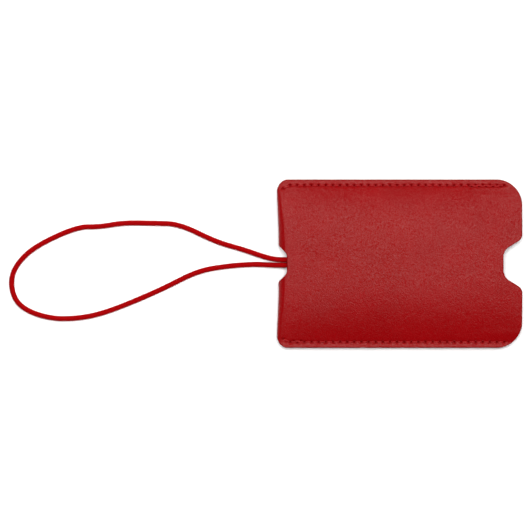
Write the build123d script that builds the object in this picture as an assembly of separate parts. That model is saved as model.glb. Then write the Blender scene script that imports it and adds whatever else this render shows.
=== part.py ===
"""Leather luggage tag: a folded, sewn sleeve, a pull-out address holder and an elastic loop.

Frame: origin at the bottom centre of the sleeve, where the tag rests on a table.
+X runs along the sleeve towards its open mouth, +Y across it, +Z up. Millimetres.
"""
from build123d import *
import math
import os

# ---- driving dimensions -------------------------------------------------------------------
sleeve_length = 100.0      # from the fold to the mouth
sleeve_width = 68.6        # across the two sewn edges
leather = 1.0              # sleeve skin
lining = 0.3               # cloth glued inside the skin
crown_rise = 3.0           # how far the upper panel bulges above its sewn edges
belly_rise = 1.5           # how far the lower panel bulges below them
crown_run = 17.0           # width of the slope between a seam and the flat of a panel
mouth_drop = 0.8           # how far the upper panel comes down at the mouth
mouth_run = 14.0           # length of that slope
fold_radius = 2.5          # outer radius of the fold
fold_run = 11.0            # length of the slope behind the fold
seam_inset = 2.2           # stitch line to edge
seam_arc = 8.0             # radius of the hollow where a panel leaves its seam

corner_cut = 3.0           # trimmed corners at the fold
corner_cut_softening = 1.6
mouth_corner_radius = 10.3

slot_depth = 4.2           # cord slot cut across the fold
slot_half_width = 7.6
slot_floor_half_width = 4.2
thumb_depth = 7.65         # thumb notch in the mouth
thumb_half_width = 10.1
thumb_floor_half_width = 5.4
thumb_shoulder_radius = 3.3
thumb_floor_radius = 4.9

stitch_count = 31
stitch_start_x = -46.9
stitch_end_x = 42.7
stitch_gap = 0.55          # leather left between two stitches, where the needle went in
thread_diameter = 0.6
groove_width = 0.9
groove_depth = 0.35

insert_length = 83.0       # pull-out address holder
insert_width = 55.0
insert_left_x = -41.2
insert_bottom_z = 2.5
backing_thickness = 0.7
film_thickness = 0.15
card_length = 69.0
card_width = 49.2
card_thickness = 0.25
card_clearance = 0.05
film_left_x = -31.0
window_half_width = 25.2   # outside of the raised part of the clear film
insert_seam_inset = 1.1
insert_thread_diameter = 0.3
insert_stitch_pitch = 2.4

cord_diameter = 2.2
patch_length = 9.0         # leather patch that holds the sewn ends of the cord
patch_width = 17.0
patch_roof = 0.6
sewn_end_height = 0.8      # the cord is pressed flat under the patch
sewn_end_width = 2.0
sewn_end_length = 7.0

# ---- values that follow from them ----------------------------------------------------------
wall = leather + lining
seam_z = belly_rise + wall                      # plane where the two panels meet
half_length = sleeve_length / 2
half_width = sleeve_width / 2
crown_edge_y = half_width - seam_inset - 0.7    # where a panel starts to rise from its seam
crown_flat_y = crown_edge_y - crown_run
pocket_half_width = crown_edge_y - 1.2          # the seam closes the pocket a little further in
overrun = 5.0                                   # how far cutting tools pass the sleeve
insert_right_x = insert_left_x + insert_length
backing_top_z = insert_bottom_z + backing_thickness
card_z = backing_top_z + card_clearance
window_z = card_z + card_thickness + card_clearance
cord_end_x = insert_left_x - 0.05
cord_end_z = backing_top_z

# Route of the elastic cord, from the upper strand's sewn end, out through the slot, round the
# loop that lies on the table, and back to the lower strand's sewn end.
lying = cord_diameter / 2
cord_route = [
    (cord_end_x, 1.74, cord_end_z),
    (-45.4, 1.64, 2.9),
    (-50.4, 1.6, 2.3),
    (-55.8, 3.0, 1.3),
    (-64.5, 6.05, lying),
    (-74.6, 8.8, lying),
    (-89.8, 16.25, lying),
    (-100.0, 16.5, lying),
    (-112.6, 16.75, lying),
    (-122.4, 15.0, lying),
    (-131.6, 15.1, lying),
    (-149.2, 6.9, lying),
    (-156.6, -0.6, lying),
    (-158.8, -7.4, lying),
    (-157.0, -15.0, lying),
    (-151.5, -19.6, lying),
    (-142.0, -22.4, lying),
    (-132.8, -22.5, lying),
    (-122.6, -20.8, lying),
    (-110.2, -16.2, lying),
    (-96.0, -10.0, lying),
    (-82.6, -3.1, lying),
    (-71.5, -1.1, lying),
    (-60.6, -0.25, lying),
    (-55.2, -0.4, 1.35),
    (-50.2, -0.62, 2.3),
    (-45.4, -0.6, 2.9),
    (cord_end_x, -0.48, cord_end_z),
]
patch_centre_y = (cord_route[0][1] + cord_route[-1][1]) / 2


# ---- sleeve ---------------------------------------------------------------------------------
def bend_angle(rise, run):
    """Turn, in degrees, of each arc of an S-bend that climbs rise over run."""
    return math.degrees(2 * math.atan2(rise, run))


def s_bend(start, rise, run, inset):
    """Two equal tangent arcs, along +X, that climb by rise and end level again.

    Their radii are those of the outer skin, moved by inset: an arc whose centre is above the
    line grows, one whose centre is below it shrinks.
    """
    turn = bend_angle(abs(rise), run)
    radius = run / math.sin(math.radians(turn)) / 2
    up = 1 if rise > 0 else -1
    one = JernArc(start, (1, 0), radius + up * inset, up * turn)
    two = JernArc(one @ 1, one % 1, radius - up * inset, -up * turn)
    return [one, two]


def across_section(inset):
    """Section of the sleeve across its width, closed, inset from the outer skin.

    Beside the seams it is a flat layer, which has no thickness left at the pocket's inset.
    """
    reach = half_width + overrun
    has_flange = inset < wall
    edges = []
    for side, rise in ((1, crown_rise), (-1, belly_rise)):
        level = seam_z + side * (wall - inset)
        flat = seam_z + side * (rise + wall - inset)
        turn = math.radians(bend_angle(rise, crown_run))
        crest = crown_run / math.sin(turn) - seam_arc - inset
        hollow = seam_arc + inset
        knee_y = crown_flat_y + crest * math.sin(turn)
        knee_z = flat - side * crest * (1 - math.cos(turn))
        for hand in (1, -1):
            crest_mid = (
                hand * (crown_flat_y + crest * math.sin(turn / 2)),
                flat - side * crest * (1 - math.cos(turn / 2)),
            )
            hollow_mid = (
                hand * (crown_edge_y - hollow * math.sin(turn / 2)),
                level + side * hollow * (1 - math.cos(turn / 2)),
            )
            knee = (hand * knee_y, knee_z)
            foot = (hand * crown_edge_y, level)
            edges.append(ThreePointArc((hand * crown_flat_y, flat), crest_mid, knee))
            edges.append(ThreePointArc(knee, hollow_mid, foot))
            if has_flange:
                edges.append(Line(foot, (hand * reach, level)))
                edges.append(Line((hand * reach, level), (hand * reach, seam_z)))
        edges.append(Line((-crown_flat_y, flat), (crown_flat_y, flat)))
    return Plane.YZ * make_face(edges)


def along_section(inset):
    """Section of the sleeve along its length, with the round fold at -X, inset likewise."""
    nose = fold_radius - inset
    nose_x = -half_length + fold_radius
    end_x = half_length + overrun
    drop_x = half_length - mouth_run
    end_drop = mouth_drop * (end_x - drop_x) / mouth_run
    top_rise = crown_rise + wall - fold_radius
    belly_drop = belly_rise + wall - fold_radius
    nose_top = (nose_x, seam_z + nose)
    nose_bottom = (nose_x, seam_z - nose)
    tip = ThreePointArc(nose_bottom, (nose_x - nose, seam_z), nose_top)
    climb = s_bend(nose_top, top_rise, fold_run, inset)
    crown = Line(climb[1] @ 1, (drop_x, (climb[1] @ 1).Y))
    lip = Line(crown @ 1, (end_x, (crown @ 1).Y - end_drop))
    sink = s_bend(nose_bottom, -belly_drop, fold_run, -inset)
    sole = Line(sink[1] @ 1, (end_x, (sink[1] @ 1).Y))
    mouth = Line(lip @ 1, sole @ 1)
    return Plane.XZ * make_face([tip, *climb, crown, lip, mouth, sole, *sink])


def envelope(inset):
    """Everything inside the sleeve's outer skin, moved inwards by inset."""
    across = extrude(across_section(inset), amount=sleeve_length, both=True)
    along = extrude(along_section(inset), amount=sleeve_width, both=True)
    return across & along


def plan_prism():
    """The sleeve's outline seen from above, with its slot and thumb notch, as a tall prism."""
    cut = corner_cut
    corners = [
        ((half_length, half_width), mouth_corner_radius),
        ((-half_length + cut, half_width), corner_cut_softening),
        ((-half_length, half_width - cut), corner_cut_softening),
        ((-half_length, slot_half_width), 1.5),
        ((-half_length + slot_depth, slot_floor_half_width), 2.0),
        ((-half_length + slot_depth, -slot_floor_half_width), 2.0),
        ((-half_length, -slot_half_width), 1.5),
        ((-half_length, -half_width + cut), corner_cut_softening),
        ((-half_length + cut, -half_width), corner_cut_softening),
        ((half_length, -half_width), mouth_corner_radius),
        ((half_length, -thumb_half_width), thumb_shoulder_radius),
        ((half_length - thumb_depth, -thumb_floor_half_width), thumb_floor_radius),
        ((half_length - thumb_depth, thumb_floor_half_width), thumb_floor_radius),
        ((half_length, thumb_half_width), thumb_shoulder_radius),
    ]
    points = [corner[0] for corner in corners]
    radii = [corner[1] for corner in corners]
    outline = FilletPolyline(*points, radius=radii, close=True)
    return extrude(make_face(outline.edges()), amount=overrun * 4, both=True)


def seam_tool(side_y):
    """The two sewing grooves, above and below, along one long edge."""
    length = stitch_end_x - stitch_start_x + 1.0
    middle = (stitch_end_x + stitch_start_x) / 2
    tool = Part()
    for side in (1, -1):
        z = seam_z + side * (wall - groove_depth / 2)
        tool += Pos(middle, side_y, z) * Box(length, groove_width, groove_depth)
    return tool


def stitches(side_y, face):
    """One thread of a seam: a row of stitches lying in the groove on the given face."""
    pitch = (stitch_end_x - stitch_start_x) / stitch_count
    z = seam_z + face * (wall - groove_depth + thread_diameter / 2)
    row = []
    for number in range(stitch_count):
        x = stitch_start_x + pitch * (number + 0.5)
        bar = Cylinder(thread_diameter / 2, pitch - stitch_gap, rotation=(0, 90, 0))
        row.append(Pos(x, side_y, z) * bar)
    return Compound(children=row)


# ---- pull-out address holder -----------------------------------------------------------------
def slab(x0, x1, width, z0, z1, radius=0.0):
    """A flat sheet between two X stations, centred on the X axis, with rounded corners."""
    plan = RectangleRounded(x1 - x0, width, radius) if radius else Rectangle(x1 - x0, width)
    return Pos((x0 + x1) / 2, 0, z0) * extrude(plan, amount=z1 - z0)


def window_film():
    """Clear film: a flat sewn rim, raised in the middle over the card, open at the mouth."""
    rim = slab(film_left_x, insert_right_x, insert_width, backing_top_z,
               backing_top_z + film_thickness)
    rim = rim & slab(insert_left_x, insert_right_x, insert_width, 0, 10, 3.0)
    outer_left = film_left_x + 2 * insert_seam_inset
    raised = slab(outer_left, insert_right_x, 2 * window_half_width, backing_top_z,
                  window_z + film_thickness)
    hollow = slab(outer_left + film_thickness, insert_right_x + 1,
                  2 * (window_half_width - film_thickness), backing_top_z - 1, window_z)
    return rim + raised - hollow


def insert_stitches():
    """Stitches of the film's three sewn sides, front thread, lying on the rim."""
    z = backing_top_z + film_thickness + insert_thread_diameter / 2
    bar_length = insert_stitch_pitch - 0.6
    row = []
    long_start = film_left_x + 2.6
    long_count = int((insert_right_x - 2.0 - long_start) / insert_stitch_pitch)
    for side in (1, -1):
        y = side * (insert_width / 2 - insert_seam_inset)
        for number in range(long_count):
            x = long_start + insert_stitch_pitch * (number + 0.5)
            bar = Cylinder(insert_thread_diameter / 2, bar_length, rotation=(0, 90, 0))
            row.append(Pos(x, y, z) * bar)
    short_count = int((insert_width - 5.0) / insert_stitch_pitch)
    x = film_left_x + insert_seam_inset
    for number in range(short_count):
        y = (number - (short_count - 1) / 2) * insert_stitch_pitch
        bar = Cylinder(insert_thread_diameter / 2, bar_length, rotation=(90, 0, 0))
        row.append(Pos(x, y, z) * bar)
    return Compound(children=row)


def cord_patch():
    """Leather patch over the cord's sewn ends, with the pocket that they lie in."""
    top = backing_top_z + sewn_end_height + patch_roof
    plan = RectangleRounded(patch_length, patch_width, 1.5)
    x = insert_left_x + patch_length / 2
    body = Pos(x, patch_centre_y, backing_top_z) * extrude(plan, amount=top - backing_top_z)
    pocket_width = cord_route[0][1] - cord_route[-1][1] + sewn_end_width
    pocket = Box(2 * sewn_end_length, pocket_width, 2 * sewn_end_height)
    return body - Pos(insert_left_x, patch_centre_y, backing_top_z) * pocket


def cord_sewn_ends():
    """The two ends of the cord, pressed flat between the patch and the backing."""
    ends = []
    for y in (cord_route[0][1], cord_route[-1][1]):
        x = insert_left_x + sewn_end_length / 2
        z = backing_top_z + sewn_end_height / 2
        end = Box(sewn_end_length, sewn_end_width, sewn_end_height)
        ends.append(Pos(x, y, z) * end)
    return Compound(children=ends)


def patch_stitches():
    """The box of stitches that holds the patch and the cord's ends down."""
    z = backing_top_z + sewn_end_height + patch_roof + insert_thread_diameter / 2
    bar_length = 1.5
    pitch = 2.1
    row = []
    for x in (insert_left_x + 1.5, insert_left_x + patch_length - 1.5):
        for number in range(7):
            y = patch_centre_y + (number - 3) * pitch
            bar = Cylinder(insert_thread_diameter / 2, bar_length, rotation=(90, 0, 0))
            row.append(Pos(x, y, z) * bar)
    return Compound(children=row)


# ---- elastic cord -----------------------------------------------------------------------------
def elastic_cord():
    """Tube along the route: straight runs joined by arcs as large as the runs allow."""
    points = [Vector(*point) for point in cord_route]
    radii = []
    for before, here, after in zip(points, points[1:], points[2:]):
        shorter = min((here - before).length, (after - here).length)
        turn = math.radians((here - before).get_angle(after - here))
        radii.append(0.45 * shorter / math.tan(turn / 2))
    print("cord radii", [round(radius, 1) for radius in radii])
    path = FilletPolyline(*points, radius=radii)
    start = Plane(origin=path @ 0, z_dir=path % 0)
    tube = sweep(start * Circle(cord_diameter / 2), path=path)
    section = math.pi * cord_diameter ** 2 / 4
    print("cord length", round(path.length, 1), "volume / section x length",
          round(tube.volume / (section * path.length), 4))
    return tube


def make_parts():
    """Every sub-part by node name."""
    skin = envelope(0)
    inside_skin = envelope(leather)
    pocket = envelope(wall) & Box(3 * sleeve_length, 2 * pocket_half_width, 8 * seam_z)
    outline = plan_prism()
    seam_y = half_width - seam_inset
    sleeve_outer = (skin - inside_skin) & outline
    sleeve_outer = sleeve_outer - seam_tool(seam_y) - seam_tool(-seam_y)
    sleeve_lining = (inside_skin - pocket) & outline
    backing = slab(insert_left_x, insert_right_x, insert_width, insert_bottom_z,
                   backing_top_z, 3.0)
    card_right_x = insert_right_x - 0.4
    card = slab(card_right_x - card_length, card_right_x, card_width, card_z,
                card_z + card_thickness, 1.5)
    return {
        "sleeve_outer": sleeve_outer,
        "sleeve_lining": sleeve_lining,
        "top_seam_needle_thread": stitches(seam_y, 1),
        "top_seam_bobbin_thread": stitches(seam_y, -1),
        "bottom_seam_needle_thread": stitches(-seam_y, 1),
        "bottom_seam_bobbin_thread": stitches(-seam_y, -1),
        "elastic_cord": elastic_cord(),
        "insert_backing": backing,
        "insert_window": window_film(),
        "insert_window_thread": insert_stitches(),
        "cord_patch": cord_patch(),
        "cord_patch_thread": patch_stitches(),
        "cord_sewn_ends": cord_sewn_ends(),
        "address_card": card,
    }


os.makedirs("parts", exist_ok=True)
for node, shape in make_parts().items():
    export_step(shape, f"parts/{node}.step")
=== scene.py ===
"""Leather luggage tag with a pull-out address holder and an elastic cord loop.

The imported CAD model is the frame. This file makes what is seen: the folded and sewn leather
sleeve with its lining and threads, the braided elastic cord, the holder with its clear window,
the materials, the light and the camera. Lengths are in metres, in the frame of the model: the
origin is under the middle of the sleeve, +X points out of its mouth and +Z up.
"""

import math

import bpy
import numpy as np
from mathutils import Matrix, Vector


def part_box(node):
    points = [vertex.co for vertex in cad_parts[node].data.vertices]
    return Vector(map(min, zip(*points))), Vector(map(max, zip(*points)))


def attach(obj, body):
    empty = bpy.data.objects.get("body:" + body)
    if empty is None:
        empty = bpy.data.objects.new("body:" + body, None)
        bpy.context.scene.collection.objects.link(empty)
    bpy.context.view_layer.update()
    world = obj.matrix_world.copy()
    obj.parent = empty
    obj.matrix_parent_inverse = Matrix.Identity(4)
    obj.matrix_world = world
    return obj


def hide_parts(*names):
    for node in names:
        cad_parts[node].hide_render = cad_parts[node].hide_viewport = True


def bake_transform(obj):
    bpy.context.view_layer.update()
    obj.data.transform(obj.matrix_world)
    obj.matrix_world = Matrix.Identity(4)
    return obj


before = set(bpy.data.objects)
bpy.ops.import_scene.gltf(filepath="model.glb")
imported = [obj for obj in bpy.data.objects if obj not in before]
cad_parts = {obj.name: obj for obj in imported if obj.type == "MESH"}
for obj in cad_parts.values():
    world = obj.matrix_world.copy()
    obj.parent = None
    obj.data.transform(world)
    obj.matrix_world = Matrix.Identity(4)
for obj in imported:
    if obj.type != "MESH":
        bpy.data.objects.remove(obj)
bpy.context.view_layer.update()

MM = 0.001

# ---- places taken from the frame -------------------------------------------------------------
skin_low, skin_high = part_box("sleeve_outer")
lining_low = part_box("sleeve_lining")[0]
card_low, card_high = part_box("address_card")

MOUTH_X = skin_high.x
FOLD_X = skin_low.x
SIDE_Y = skin_high.y
SKIN = lining_low.x - skin_low.x           # leather thickness

# ---- driving dimensions ----------------------------------------------------------------------
LINING = 0.3 * MM
WALL = SKIN + LINING
CROWN_RISE = 3.0 * MM                      # bulge of the upper panel above its seams
BELLY_RISE = 1.5 * MM                      # bulge of the lower panel below them
MOUTH_DROP = 0.4 * MM                      # how far the upper panel comes down at the mouth
SEAM_Z = BELLY_RISE + WALL                 # plane where the two panels meet

FOLD_BOW = 0.7 * MM                        # how far the middle of the fold lies inwards
SLOT_DEPTH = 3.4 * MM                      # cord slot across the fold
SLOT_FLOOR = 3.9 * MM                      # half widths of its floor and of its opening
SLOT_WIDTH = 7.3 * MM
SLOT_ROUNDS = (2.6 * MM, 0.8 * MM)         # radii at its floor and at its shoulders
CORNER_CUT = 4.0 * MM                      # length of the trimmed corners at the fold
CORNER_CUT_Y = 30.2 * MM                   # where they start
NOTCH_DEPTH = 7.65 * MM                    # thumb notch in the mouth
NOTCH_FLOOR = 5.4 * MM
NOTCH_WIDTH = 10.1 * MM
NOTCH_ROUNDS = (4.9 * MM, 3.3 * MM)
MOUTH_CORNER = 10.3 * MM                   # corner radius at the mouth

SEAM_Y = 31.95 * MM                        # stitch line
HOLE_START_X = -44.6 * MM                  # first needle hole of the straight seam
HOLE_END_X = 42.7 * MM
HOLE_COUNT = 31
HOLE_PITCH = (HOLE_END_X - HOLE_START_X) / (HOLE_COUNT - 1)
CORNER_HOLE = (-47.4 * MM, 30.7 * MM)      # the seam turns inwards at the fold
BACKTACKS = ((28.2 * MM, 5, 1), (-44.4 * MM, 2, -1))   # start, stitches, side of the sleeve
BACKTACK_INSET = 0.35 * MM
THREAD_RADIUS = 0.27 * MM
THREAD_SUNK = 0.85 * MM                    # how deep the thread goes into a hole
FLANGE_LEAN = 0.07                         # slope of both seam allowances, down towards +Y

HOLDER_EDGE_Y = 27.9 * MM                  # the upper panel leaves the holder room up to here
HOLDER_ROOM = 1.02 * MM                    # height of that room above the seam plane
CORD_RADIUS = 1.1 * MM
BRAID_STRANDS = 8                          # strands each way round the cord
BRAID_LAY = 5.2 * MM                       # length in which a strand goes once round


# ---- camera ----------------------------------------------------------------------------------
def make_camera():
    """Straight down on the tag, from far enough that the picture is nearly parallel."""
    data = bpy.data.cameras.new("camera")
    data.sensor_width = 36.0
    data.clip_end = 50.0
    distance = 1.6
    view_width = 217.1 * MM
    data.lens = data.sensor_width * distance / view_width
    camera = bpy.data.objects.new("camera", data)
    camera.location = (-54.4 * MM, -0.95 * MM, SEAM_Z + distance)
    bpy.context.scene.collection.objects.link(camera)
    bpy.context.scene.camera = camera


# ---- mesh helpers ----------------------------------------------------------------------------
def new_object(name, points, faces, attributes=None, uvs=None):
    """A smooth mesh object from arrays of points and faces, with float point attributes."""
    mesh = bpy.data.meshes.new(name)
    mesh.from_pydata([tuple(p) for p in points], [], [tuple(int(i) for i in f) for f in faces])
    mesh.polygons.foreach_set("use_smooth", [True] * len(mesh.polygons))
    for key, values in (attributes or {}).items():
        layer = mesh.attributes.new(key, "FLOAT", "POINT")
        layer.data.foreach_set("value", np.asarray(values, np.float32))
    if uvs is not None:
        layer = mesh.uv_layers.new(name="UVMap")
        flat = np.concatenate([uvs[list(f)] for f in faces]).astype(np.float32)
        layer.data.foreach_set("uv", flat.ravel())
    mesh.update()
    obj = bpy.data.objects.new(name, mesh)
    bpy.context.scene.collection.objects.link(obj)
    return obj


def smoothstep(t):
    t = np.clip(t, 0.0, 1.0)
    return t * t * (3 - 2 * t)


def point_normals(points, faces):
    """Area-weighted normals of a quad mesh at its points."""
    a, b, c, d = (points[faces[:, i]] for i in range(4))
    face_normals = np.cross(c - a, d - b)
    normals = np.zeros_like(points)
    for i in range(4):
        np.add.at(normals, faces[:, i], face_normals)
    return normals / np.maximum(np.linalg.norm(normals, axis=1, keepdims=True), 1e-20)


def waves(points, seed, wavelength, count=24):
    """Smooth random unevenness from a few sine waves, about -1 to 1."""
    random = np.random.default_rng(seed)
    total = np.zeros(len(points))
    for _ in range(count):
        heading = random.uniform(0, 2 * math.pi)
        length = wavelength * random.uniform(0.7, 1.6)
        phase = random.uniform(0, 2 * math.pi)
        along = points[:, 0] * math.cos(heading) + points[:, 1] * math.sin(heading)
        total += np.sin(2 * math.pi * along / length + phase)
    return total / math.sqrt(count)


# ---- outline of the sleeve, seen from above --------------------------------------------------
def fold_x(y):
    """The fold bows inwards between its corners."""
    near_corner = smoothstep((np.abs(y) - 10 * MM) / (22 * MM))
    return FOLD_X + FOLD_BOW - (FOLD_BOW - 0.02 * MM) * near_corner


def notch_depth(across, depth, floor, width, floor_round, shoulder_round):
    """Depth of a cut-out at a distance from its middle: flat floor, slanted sides, round corners."""
    angle = math.atan2(depth, width - floor)
    floor_start = floor - floor_round * math.tan(angle / 2)
    floor_end = floor_start + floor_round * math.sin(angle)
    shoulder_end = width + shoulder_round * math.tan(angle / 2)
    shoulder_start = shoulder_end - shoulder_round * math.sin(angle)
    into_floor = np.clip(across - floor_start, 0, floor_round)
    into_shoulder = np.clip(shoulder_end - across, 0, shoulder_round)
    on_floor = depth - floor_round + np.sqrt(floor_round ** 2 - into_floor ** 2)
    on_shoulder = shoulder_round - np.sqrt(shoulder_round ** 2 - into_shoulder ** 2)
    on_side = (width - across) * math.tan(angle)
    cut = np.where(across < floor_end, on_floor, on_side)
    return np.where(across > shoulder_start, on_shoulder, cut)


def left_edge_x(y):
    """Where the sheet ends at the cord's end: at the fold, at the slot, or at a cut corner."""
    across = np.abs(y)
    slot = fold_x(y) + notch_depth(across, SLOT_DEPTH, SLOT_FLOOR, SLOT_WIDTH, *SLOT_ROUNDS)
    reach = np.clip((across - CORNER_CUT_Y) / (SIDE_Y - CORNER_CUT_Y), 0, 1)
    power = 1.6                            # between a straight cut and a round one
    corner = fold_x(y) + CORNER_CUT * (1 - (1 - reach ** power) ** (1 / power))
    return np.where(across > CORNER_CUT_Y, corner, slot)


def mouth_edge_x(y):
    """The open end, with its thumb notch and round corners."""
    across = np.abs(y)
    notch = notch_depth(across, NOTCH_DEPTH, NOTCH_FLOOR, NOTCH_WIDTH, *NOTCH_ROUNDS)
    beyond = np.clip(across - (SIDE_Y - MOUTH_CORNER), 0, MOUTH_CORNER)
    return MOUTH_X - notch - (MOUTH_CORNER - np.sqrt(MOUTH_CORNER ** 2 - beyond ** 2))


# ---- shape of the two panels -----------------------------------------------------------------
def dome(y, flat, power):
    """1 in the middle of a panel, 0 at its seams and outside them."""
    reach = np.clip((np.abs(y) - flat) / (SEAM_Y - flat), 0, 1)
    return 1 - reach ** power


def nose(y, face):
    """Half length and half height of the fold, full in the middle and pressed flat at the seams."""
    swell = dome(y, 3 * MM, 2.5)
    rise = 2.0 * MM if face > 0 else 1.3 * MM
    return 0.8 * MM + 2.5 * MM * dome(y, 6 * MM, 1.5), WALL + rise * swell


def mouth_rise(y):
    """Bulge of the upper panel at the open end: nearly straight towards +Y, round towards -Y."""
    straight = 1 - 0.85 * np.clip(y / SEAM_Y, 0, 1) ** 1.4
    rounded = 1 - np.clip((-y - 2 * MM) / (30 * MM), 0, 1) ** 2.6
    return np.where(y > 0, straight, rounded)


def holder_room(x, y):
    """Least bulge of the upper panel near the mouth, where the holder's edges slide out."""
    ramp = (SEAM_Y - np.abs(y)) / (SEAM_Y - HOLDER_EDGE_Y)
    ramp = 0.5 * (ramp + 1 - np.sqrt((ramp - 1) ** 2 + 0.01))
    return HOLDER_ROOM * ramp * smoothstep((x - 24 * MM) / (10 * MM))


def panel_height(x, y, face):
    """Distance of a panel's outside from the seam plane, above it (face 1) or below (face -1)."""
    if face > 0:
        shaped = dome(y, 3 * MM, 2.5)
        open_end = smoothstep((x - 26 * MM) / (22 * MM))
        shaped = shaped + (mouth_rise(y) - shaped) * open_end
        full = WALL + CROWN_RISE * shaped
        full = full - MOUTH_DROP * smoothstep((x - 34 * MM) / (18 * MM)) * dome(y, 0, 1.3)
        room = np.maximum(holder_room(x, y), 0)
        full = 0.5 * (full + WALL + room + np.sqrt((full - WALL - room) ** 2 + (0.1 * room) ** 2))
    else:
        full = WALL + BELLY_RISE * dome(y, 13 * MM, 2.2)
    length, height = nose(y, face)
    climb = smoothstep((x - fold_x(y) - length) / (30 * MM))
    return height + (full - height) * climb


def needle_holes():
    """Plan positions of the needle holes of both seams, the backtacks' too."""
    holes = []
    for side in (1, -1):
        holes.append((CORNER_HOLE[0], side * CORNER_HOLE[1]))
        for number in range(HOLE_COUNT):
            holes.append((HOLE_START_X + number * HOLE_PITCH, side * SEAM_Y))
    for start, count, side in BACKTACKS:
        for number in range(count):
            x = start + (number + 0.45) * HOLE_PITCH
            holes.append((x, side * (SEAM_Y - BACKTACK_INSET)))
    return np.array(holes)


def hole_depth(x, y, spread):
    """How strongly each point lies in a needle hole, 0 to 1."""
    depth = np.zeros_like(x)
    for hole_x, hole_y in needle_holes():
        distance = (x - hole_x) ** 2 + (y - hole_y) ** 2
        depth = np.maximum(depth, np.exp(-distance / spread ** 2))
    return depth


# ---- the folded sheet ------------------------------------------------------------------------
EDGE_STATIONS = np.array([0, 0.05, 0.13, 0.24, 0.38, 0.56]) * MM   # close enough to round an edge


def column_ys():
    """Stations across the sleeve: close together at the edges, the seams and the cut-outs."""
    edge = SIDE_Y - EDGE_STATIONS
    seam = np.linspace(SIDE_Y - 0.8 * MM, 29.6 * MM, 18)
    panel = np.linspace(28.9 * MM, 12.6 * MM, 22)
    middle = np.linspace(12.0 * MM, 0.0, 41)
    half = np.concatenate([edge, seam, panel, middle])
    return np.concatenate([half, -half[-2::-1]])


def row_shares(length, rows):
    """Stations from the mouth to the fold, as shares, with a few close together at both ends."""
    edge = EDGE_STATIONS / length
    middle = np.linspace(0.85 * MM / length, 1 - 0.85 * MM / length, rows)
    return np.concatenate([edge, middle, 1 - edge[::-1]])


def panel_points(face, rows):
    """Points of one panel, rows from the mouth to the fold's edge by columns across."""
    y = column_ys()
    share = row_shares(MOUTH_X - FOLD_X, rows)[:, None]
    length, height = nose(y, face)
    centre_x = fold_x(y) + length
    start = mouth_edge_x(y)
    end = left_edge_x(y)
    flat_length = start - np.maximum(end, centre_x)
    swing = np.arcsin(np.clip((centre_x - end) / length, 0, 1))
    total = flat_length + length * swing
    travel = share * total
    over = np.maximum(travel - flat_length, 0) / length
    x = start - np.minimum(travel, flat_length) - length * np.sin(over)
    z = np.where(over > 0, height * np.cos(over), panel_height(x, y[None, :], face))
    lean = FLANGE_LEAN * np.sign(y) * np.maximum(np.abs(y) - SEAM_Y, 0)
    points = np.stack([x, np.broadcast_to(y, x.shape), SEAM_Z - lean + face * z], axis=2)
    gap = np.minimum(travel, np.where(end > fold_x(y) + 1e-7, total - travel, 1.0))
    gap = np.minimum(gap, SIDE_Y - np.abs(y)[None, :])
    return points, gap


def sheet_topology(rows, columns, split):
    """Quads of the two panels joined along the fold, except in the columns that are split."""
    top = np.arange(rows * columns).reshape(rows, columns)
    bottom = top + rows * columns
    bottom[-1, ~split] = top[-1, ~split]
    faces = []
    for grid, upwards in ((top, True), (bottom, False)):
        a, b = grid[:-1, :-1].ravel(), grid[:-1, 1:].ravel()
        c, d = grid[1:, 1:].ravel(), grid[1:, :-1].ravel()
        faces.append(np.stack([d, c, b, a] if upwards else [a, b, c, d], axis=1))
    return np.concatenate(faces)


def folded_sheet(rows):
    """Base points, distance to the nearest cut edge, and quads, of the folded sheet."""
    top, top_gap = panel_points(1, rows)
    bottom, bottom_gap = panel_points(-1, rows)
    y = column_ys()
    split = left_edge_x(y) > fold_x(y) + 1e-6
    faces = sheet_topology(top.shape[0], top.shape[1], split)
    points = np.concatenate([top.reshape(-1, 3), bottom.reshape(-1, 3)])
    gap = np.concatenate([top_gap.ravel(), bottom_gap.ravel()])
    return points, gap, faces


def thick_mesh(name, outer, inner, faces, attributes):
    """A closed solid from two layers with the same quads, joined along their open edges."""
    used = np.unique(faces)
    renumber = np.full(len(outer), -1)
    renumber[used] = np.arange(len(used))
    faces = renumber[faces]
    outer, inner = outer[used], inner[used]
    count = len(used)
    edges = dict.fromkeys((int(f[i]), int(f[(i + 1) % 4])) for f in faces for i in range(4))
    rim = [(b, a, a + count, b + count) for a, b in edges if (b, a) not in edges]
    all_faces = [tuple(f) for f in faces] + [tuple(f[::-1] + count) for f in faces] + rim
    layers = {key: np.concatenate([values[used]] * 2) for key, values in attributes.items()}
    obj = new_object(name, np.concatenate([outer, inner]), all_faces, layers)
    obj.data.set_sharp_from_angle(angle=math.radians(55))
    return obj


def skin_lift(points):
    """How far the skin stands off its smooth shape: soft waves, seam valleys, needle holes."""
    x, y = points[:, 0], points[:, 1]
    inside_seam = SEAM_Y - np.abs(y)
    from_start = smoothstep((x - HOLE_START_X + 1.0 * MM) / (1 * MM))
    along_seam = from_start * smoothstep((HOLE_END_X + 0.9 * MM - x) / (1 * MM))
    valley = np.exp(-(inside_seam / (0.42 * MM)) ** 2) * along_seam
    ripple = np.cos(2 * math.pi * (x - HOLE_START_X) / HOLE_PITCH) * along_seam
    ripple = ripple * np.exp(-np.abs(inside_seam) / (1.5 * MM))
    broad = waves(points, 3, 30 * MM) * smoothstep(inside_seam / (9 * MM))
    small = waves(points, 5, 8 * MM)
    lift = 0.06 * MM * broad + 0.012 * MM * small
    lift = lift - 0.08 * MM * valley - 0.5 * MM * hole_depth(x, y, 0.46 * MM) - 0.04 * MM * ripple
    return np.where(points[:, 2] > SEAM_Z, lift, np.minimum(lift, 0) * 0.6)


def rounded_off(gap):
    """How far the skin drops at a distance from its cut edge."""
    radius = 0.38 * MM
    into_edge = np.clip(1 - gap / radius, 0, 1)
    return radius * (1 - np.sqrt(1 - into_edge ** 2))


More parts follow.
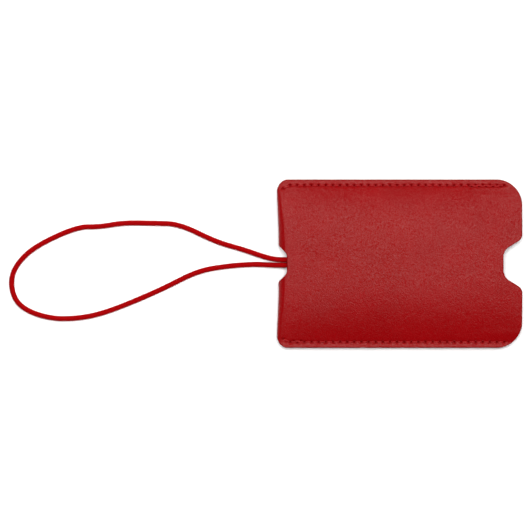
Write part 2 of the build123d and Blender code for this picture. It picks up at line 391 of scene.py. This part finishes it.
def make_sleeve():
    """The leather skin and the lining, both thick sheets over the same base shape."""
    base, gap, faces = folded_sheet(220)
    normals = point_normals(base, faces)
    lift = skin_lift(base) * np.abs(normals[:, 2])
    outer = base + normals * (lift - rounded_off(gap))[:, None]
    outer[:, 2] = np.maximum(outer[:, 2], 0.0)
    # Masks for the painted shade in the needle holes and for the darker leather along the cut edges.
    layers = {
        "needle": hole_depth(base[:, 0], base[:, 1], 0.55 * MM),
        "edge": 1 - smoothstep((gap - 0.12 * MM) / (0.34 * MM)),
    }
    skin = thick_mesh("sleeve_leather", outer, base - normals * SKIN, faces, layers)
    glue = 0.01 * MM                       # space left on both faces of the lining
    cloth_outer = base - normals * (SKIN + glue)
    cloth_inner = base - normals * (WALL - glue)
    lining = thick_mesh("sleeve_cloth_lining", cloth_outer, cloth_inner, faces, {})
    return skin, lining


# ---- tubes: cord and threads -----------------------------------------------------------------
def tube_rings(line, sides, radius_of):
    """Points of a tube along a line, without twist; radius_of(distance, angle) gives its skin."""
    line = np.asarray(line, float)
    steps = np.linalg.norm(np.diff(line, axis=0), axis=1)
    along = np.concatenate([[0], np.cumsum(steps)])
    tangents = np.gradient(line, axis=0)
    tangents /= np.linalg.norm(tangents, axis=1, keepdims=True)
    side = np.cross(tangents[0], (0, 0, 1))
    side /= np.linalg.norm(side)
    angle = np.arange(sides) * 2 * math.pi / sides
    rings = []
    for centre, tangent, distance in zip(line, tangents, along):
        side = side - tangent * np.dot(side, tangent)
        side /= np.linalg.norm(side)
        up = np.cross(side, tangent)
        radius = radius_of(distance, angle)
        ring = np.cos(angle)[:, None] * side + np.sin(angle)[:, None] * up
        rings.append(centre + ring * np.reshape(radius, (-1, 1)))
    return np.array(rings), along, angle


def tube_faces(rings, sides, start=0):
    """Quads of a closed tube and its two end caps."""
    faces = []
    for i in range(rings - 1):
        for j in range(sides):
            k = (j + 1) % sides
            a, b = start + i * sides, start + (i + 1) * sides
            faces.append((a + j, a + k, b + k, b + j))
    faces.append(tuple(start + j for j in reversed(range(sides))))
    last = start + (rings - 1) * sides
    faces.append(tuple(last + j for j in range(sides)))
    return faces


def evenly(line, step):
    """The same line with points an equal distance apart."""
    steps = np.linalg.norm(np.diff(line, axis=0), axis=1)
    along = np.concatenate([[0], np.cumsum(steps)])
    stations = np.linspace(0, along[-1], int(along[-1] / step) + 1)
    return np.stack([np.interp(stations, along, line[:, k]) for k in range(3)], axis=1)


# Route of the elastic cord, in millimetres: from the holder out through the slot, round the
# loop and back. It is the route that the CAD tube follows.
CORD_ROUTE = (
    (-41.25, 1.74, 3.2),
    (-45.4, 1.64, 2.9),
    (-50.4, 1.6, 2.3),
    (-55.8, 3.0, 1.3),
    (-64.5, 6.05, 1.1),
    (-74.6, 8.8, 1.1),
    (-89.8, 16.25, 1.1),
    (-100.0, 16.5, 1.1),
    (-112.6, 16.75, 1.1),
    (-122.4, 15.0, 1.1),
    (-131.6, 15.1, 1.1),
    (-149.2, 6.9, 1.1),
    (-156.6, -0.6, 1.1),
    (-158.8, -7.4, 1.1),
    (-157.0, -15.0, 1.1),
    (-151.5, -19.6, 1.1),
    (-142.0, -22.4, 1.1),
    (-132.8, -22.5, 1.1),
    (-122.6, -20.8, 1.1),
    (-110.2, -16.2, 1.1),
    (-96.0, -10.0, 1.1),
    (-82.6, -3.1, 1.1),
    (-71.5, -1.1, 1.1),
    (-60.6, -0.25, 1.1),
    (-55.2, -0.4, 1.35),
    (-50.2, -0.62, 2.3),
    (-45.4, -0.6, 2.9),
    (-41.25, -0.48, 3.2),
)


def cord_line():
    """Points read from the smooth NURBS line of the cord's route."""
    data = bpy.data.curves.new("cord_route", "CURVE")
    data.dimensions = "3D"
    data.resolution_u = 24
    spline = data.splines.new("NURBS")
    spline.points.add(len(CORD_ROUTE) - 1)
    for point, (x, y, z) in zip(spline.points, CORD_ROUTE):
        point.co = (x * MM, y * MM, z * MM, 1.0)
    spline.order_u = 3
    spline.use_endpoint_u = True
    holder = bpy.data.objects.new("cord_route", data)
    mesh = bpy.data.meshes.new_from_object(holder)
    line = np.array([v.co for v in mesh.vertices], float)
    bpy.data.meshes.remove(mesh)
    bpy.data.objects.remove(holder)
    bpy.data.curves.remove(data)
    return line


def braid_radius(distance, angle):
    """Skin of a round braid: two crossing sets of strands, each over and under the other."""
    turn = 2 * math.pi * distance / BRAID_LAY
    left = BRAID_STRANDS / 2 * (angle + turn)
    right = BRAID_STRANDS / 2 * (angle - turn)
    over = 0.5 + 0.5 * np.sin(left + right) * np.sin(left - right)
    ridges = over * np.abs(np.cos(left)) + (1 - over) * np.abs(np.cos(right))
    return CORD_RADIUS - 0.09 * MM * (1 - ridges)


def make_cord():
    """The braided elastic loop as a fixed tube; the real cord stretches after the holder inside the
    sleeve.
    """
    sides = 32
    line = evenly(cord_line(), 0.22 * MM)
    rings, along, angle = tube_rings(line, sides, braid_radius)
    around = np.broadcast_to(angle / (2 * math.pi), rings.shape[:2])
    length = np.broadcast_to((along / (2 * math.pi * CORD_RADIUS))[:, None], rings.shape[:2])
    uvs = np.stack([length.ravel(), around.ravel()], axis=1)
    faces = tube_faces(len(line), sides)
    cord = new_object("braided_cord", rings.reshape(-1, 3), faces, uvs=uvs)
    fix_seam_uvs(cord, sides)
    return cord, line


def fix_seam_uvs(obj, sides):
    """Lets the last strip of quads round a tube end at 1 and not go back to 0."""
    layer = obj.data.uv_layers["UVMap"].data
    for polygon in obj.data.polygons:
        loops = list(polygon.loop_indices)
        values = [layer[i].uv.y for i in loops]
        if len(loops) == 4 and max(values) - min(values) > 0.5:
            for i in loops:
                if layer[i].uv.y < 0.5:
                    layer[i].uv.y += 1.0


def skin_height(x, y, face):
    """Outside of the sleeve above or below a plan point, in the row frame."""
    return SEAM_Z + face * float(panel_height(np.array([x]), np.array([y]), face)[0])


def stitch_run(holes, face):
    """Centreline of a thread that lies on the leather between holes and dives into each."""
    line = []
    steps = 16
    lying = THREAD_SUNK - 0.1 * MM + 0.35 * THREAD_RADIUS
    for (x0, y0), (x1, y1) in zip(holes, holes[1:]):
        for number in range(steps):
            t = number / steps
            x, y = x0 + (x1 - x0) * t, y0 + (y1 - y0) * t
            lie = float(smoothstep(min(t, 1 - t) / 0.16 - 0.7))
            line.append((x, y, skin_height(x, y, face) + face * (lying * lie - THREAD_SUNK)))
    x, y = holes[-1]
    line.append((x, y, skin_height(x, y, face) - face * THREAD_SUNK))
    return np.array(line)


def ply_radius(distance, angle):
    """Skin of a thread of two plies twisted together."""
    return THREAD_RADIUS * (0.86 + 0.14 * np.abs(np.cos(angle + distance / (0.16 * MM))))


def make_seam_thread(name, side, face):
    """One thread of a seam, with its turned-in first stitch and its backtack."""
    sides = 10
    straight = [(HOLE_START_X + i * HOLE_PITCH, side * SEAM_Y) for i in range(HOLE_COUNT)]
    runs = [[(CORNER_HOLE[0], side * CORNER_HOLE[1])] + straight]
    for start, count, tack_side in BACKTACKS:
        if tack_side == side:
            y = side * (SEAM_Y - BACKTACK_INSET)
            runs.append([(start + (i + 0.45) * HOLE_PITCH, y) for i in range(count)])
    points, faces, uvs = [], [], []
    for run in runs:
        line = stitch_run(run, face)
        rings, along, angle = tube_rings(line, sides, ply_radius)
        faces += tube_faces(len(line), sides, sum(len(p) for p in points))
        points.append(rings.reshape(-1, 3))
        around = np.broadcast_to(angle / (2 * math.pi), rings.shape[:2])
        length = np.broadcast_to((along / MM)[:, None], rings.shape[:2])
        uvs.append(np.stack([length.ravel(), around.ravel()], axis=1))
    return new_object(name, np.concatenate(points), faces, uvs=np.concatenate(uvs))


# ---- materials -------------------------------------------------------------------------------
class Nodes:
    """Short ways to add and link the nodes of one material."""

    def __init__(self, name):
        self.material = bpy.data.materials.new(name)
        self.material.use_nodes = True
        self.tree = self.material.node_tree
        self.surface = self.tree.nodes["Principled BSDF"]

    def add(self, kind, inputs=None, **settings):
        node = self.tree.nodes.new(kind)
        for key, value in settings.items():
            setattr(node, key, value)
        for key, value in (inputs or {}).items():
            if isinstance(value, bpy.types.NodeSocket):
                self.tree.links.new(value, node.inputs[key])
            else:
                node.inputs[key].default_value = value
        return node

    def place(self, scale=(1, 1, 1)):
        """Object coordinates in millimetres, times scale."""
        where = self.add("ShaderNodeTexCoord").outputs["Object"]
        per_mm = tuple(1000.0 * s for s in scale)
        return self.add("ShaderNodeMapping", {"Vector": where, "Scale": per_mm}).outputs[0]

    def noise(self, where, scale, detail=3.0, roughness=0.55):
        inputs = {"Vector": where, "Scale": scale, "Detail": detail, "Roughness": roughness}
        return self.add("ShaderNodeTexNoise", inputs).outputs["Fac"]

    def cells(self, where, scale, smooth):
        inputs = {"Vector": where, "Scale": scale, "Smoothness": smooth}
        return self.add("ShaderNodeTexVoronoi", inputs, feature="SMOOTH_F1").outputs["Distance"]

    def math(self, operation, a, b=0.5):
        return self.add("ShaderNodeMath", {0: a, 1: b}, operation=operation).outputs[0]

    def fit(self, value, low, high, new_low=0.0, new_high=1.0):
        inputs = {"Value": value, "From Min": low, "From Max": high,
                  "To Min": new_low, "To Max": new_high}
        return self.add("ShaderNodeMapRange", inputs).outputs[0]

    def mix(self, factor, a, b, blend="MIX"):
        node = self.add("ShaderNodeMix", data_type="RGBA", blend_type=blend)
        for key, value in ((0, factor), (6, a), (7, b)):
            if isinstance(value, bpy.types.NodeSocket):
                self.tree.links.new(value, node.inputs[key])
            else:
                node.inputs[key].default_value = value
        return node.outputs[2]

    def attribute(self, name):
        return self.add("ShaderNodeAttribute", attribute_name=name).outputs["Fac"]

    def bump(self, height, strength, distance):
        inputs = {"Height": height, "Strength": strength, "Distance": distance}
        return self.add("ShaderNodeBump", inputs).outputs["Normal"]

    def finish(self, **sockets):
        for key, value in sockets.items():
            socket = self.surface.inputs[key.replace("_", " ")]
            if isinstance(value, bpy.types.NodeSocket):
                self.tree.links.new(value, socket)
            else:
                socket.default_value = value
        return self.material


def leather_material(name, colour, deep, rough, shine, haze, sewn=False):
    """Fine-grained coated leather: pebbles about half a millimetre across, satin finish."""
    n = Nodes(name)
    where = n.place()
    pebbles = n.cells(where, 2.2, 0.35)
    fine = n.noise(where, 3.2, 4.0, 0.6)
    broad = n.noise(where, 0.09, 3.0)
    shade = n.fit(n.math("ADD", n.math("MULTIPLY", fine, 0.6), n.math("MULTIPLY", broad, 0.8)),
                  0.45, 0.95)
    tint = n.mix(shade, deep, colour)
    tint = n.mix(n.fit(pebbles, 0.25, 0.6, 0.0, 0.35), tint, deep)
    height = n.math("SUBTRACT", n.math("MULTIPLY", fine, 0.5), pebbles)
    gloss = n.fit(n.noise(where, 2.3, 3.0, 0.75), 0.4, 0.6, 0.05 * shine, 1.95 * shine)
    if sewn:
        # Painted shade: the needle holes are darkened towards (0.13, 0.0015, 0.002) and lose most of
        # their sheen; the leather along the cut edges is darkened the same way.
        hole_shade_and_dark_edge = n.math("MAXIMUM", n.attribute("needle"),
                      n.math("MULTIPLY", n.attribute("edge"), 0.7))
        tint = n.mix(n.fit(hole_shade_and_dark_edge, 0.2, 0.9), tint, (0.13, 0.0015, 0.002, 1))
        gloss = n.math("MULTIPLY", gloss, n.fit(hole_shade_and_dark_edge, 0.15, 0.8, 1.0, 0.15))
    roughness = n.fit(fine, 0.3, 0.7, rough - 0.04, rough + 0.05)
    return n.finish(Base_Color=tint, Roughness=roughness, Specular_IOR_Level=gloss,
                    Specular_Tint=haze, Normal=n.bump(height, 0.6, 0.09 * MM))


def cloth_material(name, colour, deep):
    """Thin plain-woven lining cloth."""
    n = Nodes(name)
    where = n.place()
    split = n.add("ShaderNodeSeparateXYZ", {0: where}).outputs
    warp = n.math("SINE", n.math("MULTIPLY", split[0], 2 * math.pi / 0.32))
    weft = n.math("SINE", n.math("MULTIPLY", split[1], 2 * math.pi / 0.32))
    weave = n.math("MULTIPLY", warp, weft)
    fibres = n.noise(where, 7.0, 3.0)
    height = n.math("ADD", weave, n.math("MULTIPLY", fibres, 0.6))
    tint = n.mix(n.fit(height, -0.8, 1.3), deep, colour)
    return n.finish(Base_Color=tint, Roughness=0.85, Normal=n.bump(height, 0.5, 0.05 * MM))


def thread_material(name, colour, deep):
    """Twisted sewing thread: the plies run round the tube."""
    n = Nodes(name)
    split = n.add("ShaderNodeSeparateXYZ", {0: n.add("ShaderNodeTexCoord").outputs["UV"]}).outputs
    twist = n.math("SINE", n.math("ADD", n.math("MULTIPLY", split[0], 19.0),
                                  n.math("MULTIPLY", split[1], 4 * math.pi)))
    fibres = n.noise(n.place((1, 3, 3)), 6.0, 2.0)
    height = n.math("ADD", twist, fibres)
    tint = n.mix(n.fit(height, -0.6, 1.5), deep, colour)
    return n.finish(Base_Color=tint, Roughness=0.55, Specular_IOR_Level=0.3,
                    Specular_Tint=(1.0, 0.5, 0.48, 1), Normal=n.bump(height, 0.4, 0.04 * MM))


def cord_material(name, colour, deep):
    """Braided elastic: shiny filaments in two crossing sets of strands."""
    n = Nodes(name)
    split = n.add("ShaderNodeSeparateXYZ", {0: n.add("ShaderNodeTexCoord").outputs["UV"]}).outputs
    lay = 2 * math.pi * CORD_RADIUS / BRAID_LAY
    along = n.math("MULTIPLY", split[0], 2 * math.pi * lay)
    around = n.math("MULTIPLY", split[1], 2 * math.pi)
    left = n.math("MULTIPLY", n.math("ADD", around, along), BRAID_STRANDS / 2)
    right = n.math("MULTIPLY", n.math("SUBTRACT", around, along), BRAID_STRANDS / 2)
    over = n.fit(n.math("MULTIPLY", n.math("SINE", n.math("ADD", left, right)),
                        n.math("SINE", n.math("SUBTRACT", left, right))), -1, 1)
    first = n.math("ABSOLUTE", n.math("COSINE", left))
    second = n.math("ABSOLUTE", n.math("COSINE", right))
    strands = n.add("ShaderNodeMix", {0: over, 2: second, 3: first}).outputs[0]
    filaments = n.noise(n.place(), 9.0, 3.0, 0.7)
    height = n.math("ADD", strands, n.math("MULTIPLY", filaments, 0.35))
    tint = n.mix(n.fit(height, 0.25, 1.1), deep, colour)
    return n.finish(Base_Color=tint, Roughness=n.fit(filaments, 0.3, 0.7, 0.45, 0.6),
                    Specular_IOR_Level=0.08, Specular_Tint=(1.0, 0.12, 0.12, 1),
                    Normal=n.bump(height, 0.4, 0.05 * MM))


def film_material(name):
    """Clear soft film with faint scuffs."""
    n = Nodes(name)
    scuffs = n.noise(n.place((0.3, 1.5, 1)), 0.8, 5.0, 0.7)
    return n.finish(Base_Color=(0.12, 0.125, 0.13, 1), Alpha=0.12, Specular_IOR_Level=1.0,
                    Roughness=n.fit(scuffs, 0.35, 0.75, 0.05, 0.2))


def card_material(name):
    """Uncoated card with a few ruled lines to write on."""
    n = Nodes(name)
    where = n.place()
    split = n.add("ShaderNodeSeparateXYZ", {0: where}).outputs
    fibres = n.noise(where, 2.5, 5.0, 0.7)
    tint = n.mix(n.fit(fibres, 0.3, 0.7), (0.50, 0.48, 0.42, 1), (0.58, 0.56, 0.50, 1))
    spacing = 7.5
    phase = n.math("PINGPONG", n.math("ADD", split[1], 2.0), spacing / 2)
    on_line = n.math("LESS_THAN", phase, 0.17)
    inside = n.math("LESS_THAN", n.math("ABSOLUTE", split[1]), 20.0)
    middle = (card_low.x + card_high.x) / 2 / MM
    reach = (card_high.x - card_low.x) / 2 / MM - 5.0
    within = n.math("LESS_THAN", n.math("ABSOLUTE", n.math("SUBTRACT", split[0], middle)), reach)
    line = n.math("MULTIPLY", n.math("MULTIPLY", on_line, inside), within)
    tint = n.mix(line, tint, (0.22, 0.24, 0.28, 1))
    return n.finish(Base_Color=tint, Roughness=0.8, Normal=n.bump(fibres, 0.15, 0.05 * MM))


def floor_material(name):
    """Pale and matt; it glows a little beyond the lamps' reach, so that low views stay pale."""
    n = Nodes(name)
    where = n.add("ShaderNodeTexCoord").outputs["Object"]
    distance = n.add("ShaderNodeVectorMath", {0: where}, operation="LENGTH").outputs["Value"]
    n.material.cycles.emission_sampling = "NONE"
    return n.finish(Base_Color=(0.93, 0.93, 0.93, 1), Roughness=0.9, Specular_IOR_Level=0.1,
                    Emission_Color=(1, 1, 1, 1), Emission_Strength=n.fit(distance, 0.8, 2.5))


def paint(obj, material):
    """Gives a piece its only material."""
    obj.data.materials.clear()
    obj.data.materials.append(material)


# ---- light and floor -------------------------------------------------------------------------
def softbox(name, direction, distance, size, radiance):
    """A rectangular area light that faces the tag from a direction."""
    data = bpy.data.lights.new(name, "AREA")
    data.shape = "RECTANGLE"
    data.size, data.size_y = size
    data.energy = radiance * math.pi * size[0] * size[1]
    light = bpy.data.objects.new(name, data)
    heading = Vector(direction).normalized()
    light.location = heading * distance
    light.rotation_euler = heading.to_track_quat("Z", "Y").to_euler()
    bpy.context.scene.collection.objects.link(light)


def make_studio():
    """A pale floor, one softbox above that glazes the leather, and low ones round the sides."""
    white = floor_material("floor_white")
    bpy.ops.mesh.primitive_plane_add(size=14.0)
    floor = bpy.context.object
    floor.name = "floor"
    bpy.ops.mesh.primitive_cylinder_add(vertices=96, radius=6.0, depth=0.6,
                                        location=(0, 0, 0.3), end_fill_type="NOTHING")
    backdrop = bpy.context.object
    backdrop.name = "backdrop"
    for piece in (floor, backdrop):
        piece.data.materials.append(white)
    softbox("softbox_above", (0, 0.15, 1), 1.1, (0.8, 0.58), 11.5)
    softbox("softbox_back", (0, 1, 0.4), 1.6, (1.8, 0.5), 5.0)
    softbox("softbox_front", (0, -1, 0.36), 1.6, (1.8, 0.4), 2.0)
    softbox("softbox_left", (-1, 0, 0.36), 1.6, (1.4, 0.4), 2.0)
    softbox("softbox_right", (1, 0, 0.36), 1.6, (1.4, 0.4), 3.0)
    world = bpy.data.worlds.new("studio")
    world.use_nodes = True
    world.node_tree.nodes["Background"].inputs["Color"].default_value = (1, 1, 1, 1)
    world.node_tree.nodes["Background"].inputs["Strength"].default_value = 0.03
    bpy.context.scene.world = world
    bpy.context.scene.view_settings.view_transform = "Standard"


# ---- putting it together ---------------------------------------------------------------------
make_camera()

cord, cord_path = make_cord()
paint(cord, cord_material("elastic_red", (0.325, 0.0004, 0.0012, 1), (0.175, 0.0002, 0.0007, 1)))
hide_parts("elastic_cord")
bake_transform(cord)

skin, lining = make_sleeve()
glaze = (0.68, 0.42, 0.39, 1)
leather_red = leather_material("leather_red", (0.222, 0.0010, 0.0022, 1),
                               (0.184, 0.0005, 0.0013, 1), 0.30, 0.14, glaze, sewn=True)
paint(skin, leather_red)
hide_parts("sleeve_outer")
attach(skin, "sleeve")
paint(lining, cloth_material("lining_red", (0.16, 0.004, 0.006, 1), (0.07, 0.001, 0.002, 1)))
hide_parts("sleeve_lining")
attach(lining, "sleeve")

thread_red = thread_material("thread_red", (0.36, 0.012, 0.014, 1), (0.17, 0.002, 0.003, 1))
for seam, side in (("top", 1), ("bottom", -1)):
    for kind, face in (("needle", 1), ("bobbin", -1)):
        thread = make_seam_thread(f"{seam}_{kind}_stitches", side, face)
        paint(thread, thread_red)
        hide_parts(f"{seam}_seam_{kind}_thread")
        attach(thread, "sleeve")

insert_red = leather_material("leather_insert", (0.18, 0.003, 0.004, 1),
                              (0.12, 0.0015, 0.002, 1), 0.45, 0.2, glaze)
for node, material, slot_name in (
    ("insert_backing", insert_red, "insert_leather"),
    ("cord_patch", insert_red, "insert_leather"),
    ("insert_window", film_material("film_clear"), "clear_film"),
    ("address_card", card_material("card_paper"), "card"),
    ("insert_window_thread", thread_red, "thread"),
    ("cord_patch_thread", thread_red, "thread"),
    ("cord_sewn_ends", cord.data.materials[0], "elastic"),
):
    paint(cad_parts[node], material)

make_studio()
